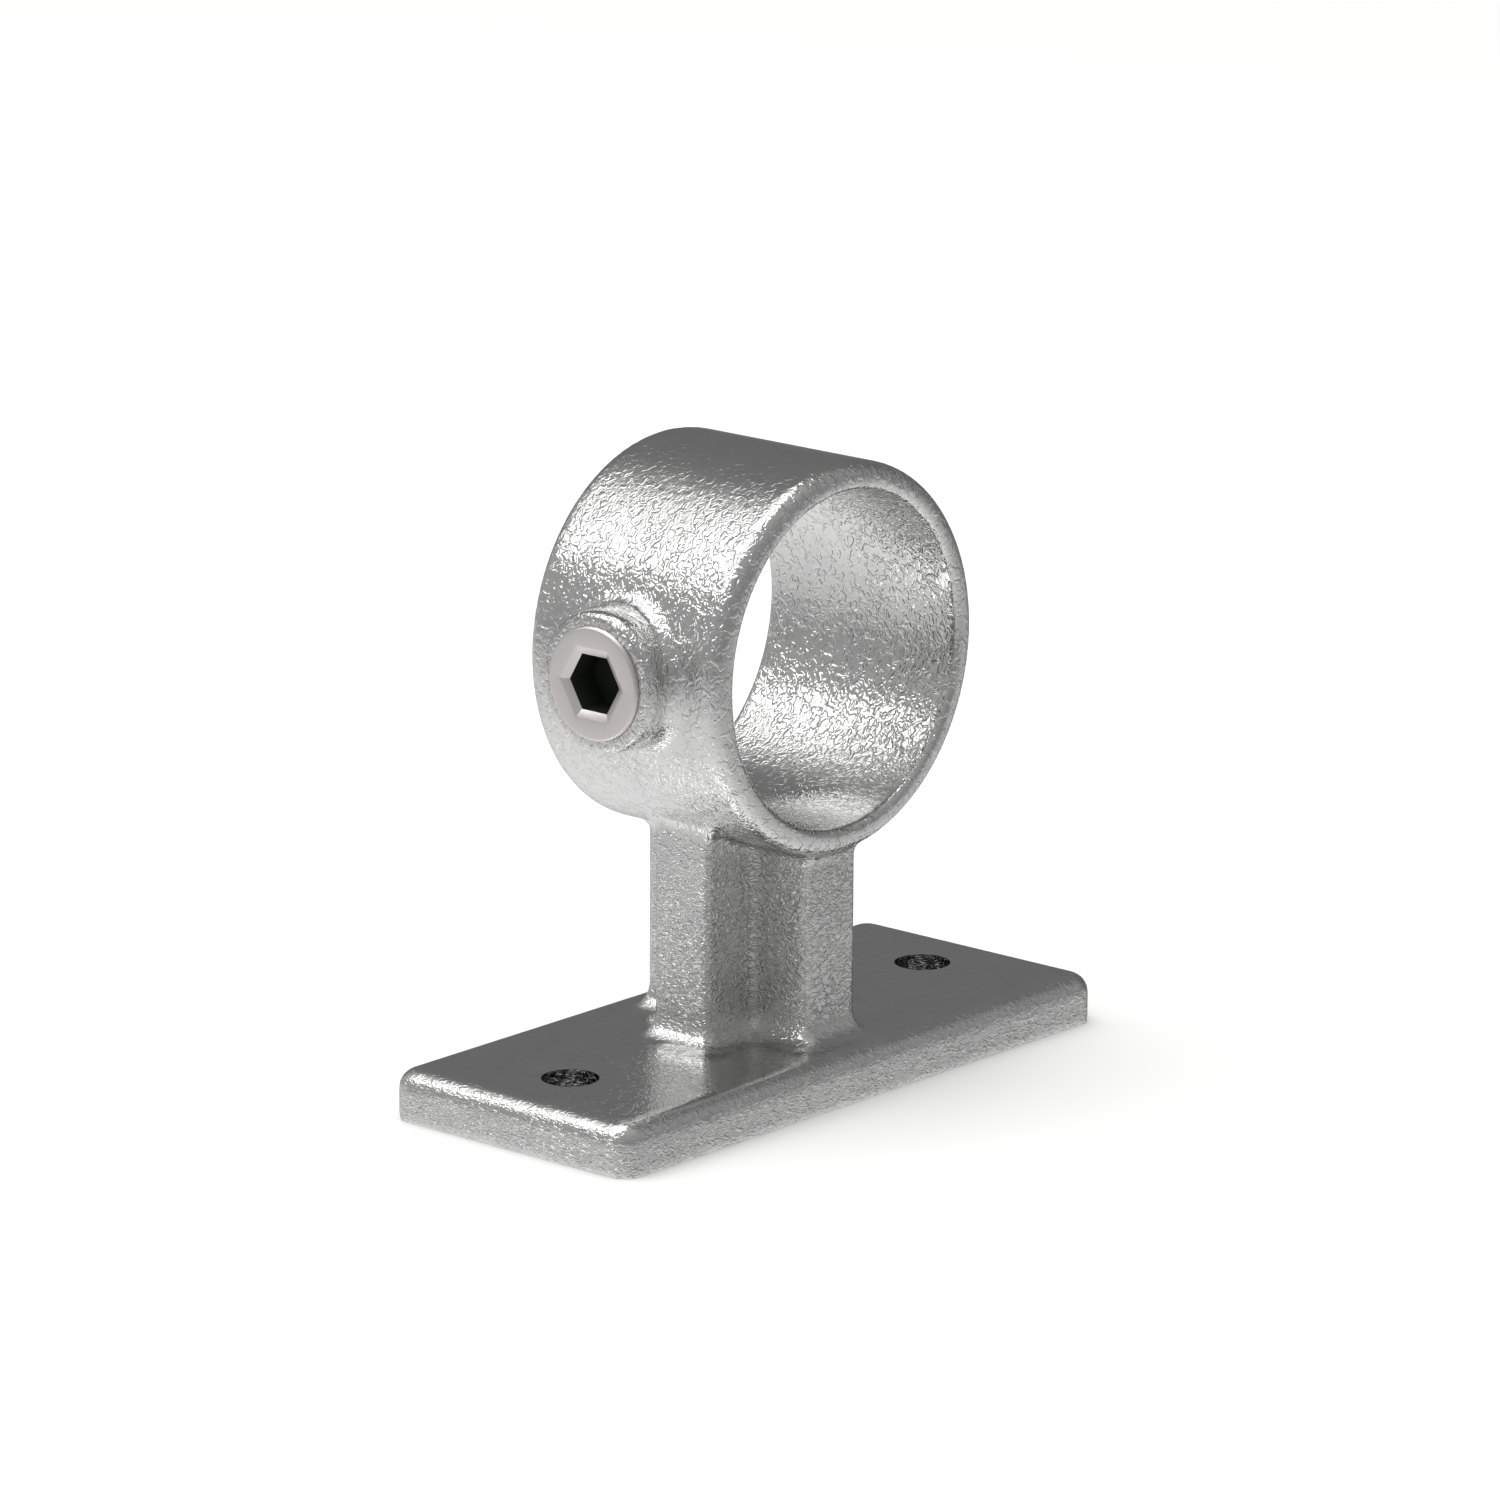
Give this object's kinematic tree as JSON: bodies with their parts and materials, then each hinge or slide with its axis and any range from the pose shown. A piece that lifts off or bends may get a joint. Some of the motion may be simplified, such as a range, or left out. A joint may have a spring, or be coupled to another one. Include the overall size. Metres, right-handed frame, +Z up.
{
  "type": "handrail bracket",
  "caption": "Cast rail bracket: a flat base plate with fixing holes, a cross-section stem and a collar that takes a round tube, locked by a hexagon-socket set screw in a side boss.",
  "frame": {"origin": "centre of the base plate's underside", "axes": "+X along the bore and the rail, +Y along the base plate's length with the set screw on the -Y side of the collar, +Z up from the underside"},
  "size_m": [0.045, 0.105, 0.0925],
  "materials": {
    "galvanised_iron": "hot-dip galvanised",
    "zinc_steel": "zinc plated, satin"
  },
  "bodies": {
    "bracket": {"casting": "galvanised_iron"},
    "screw": {"set_screw": "zinc_steel"}
  },
  "joints": [
    {"name": "screw_travel", "type": "slide", "parent": "bracket", "child": "screw", "axis": [0, -1, 0], "range_m": [-0.0007, 0.006]}
  ]
}
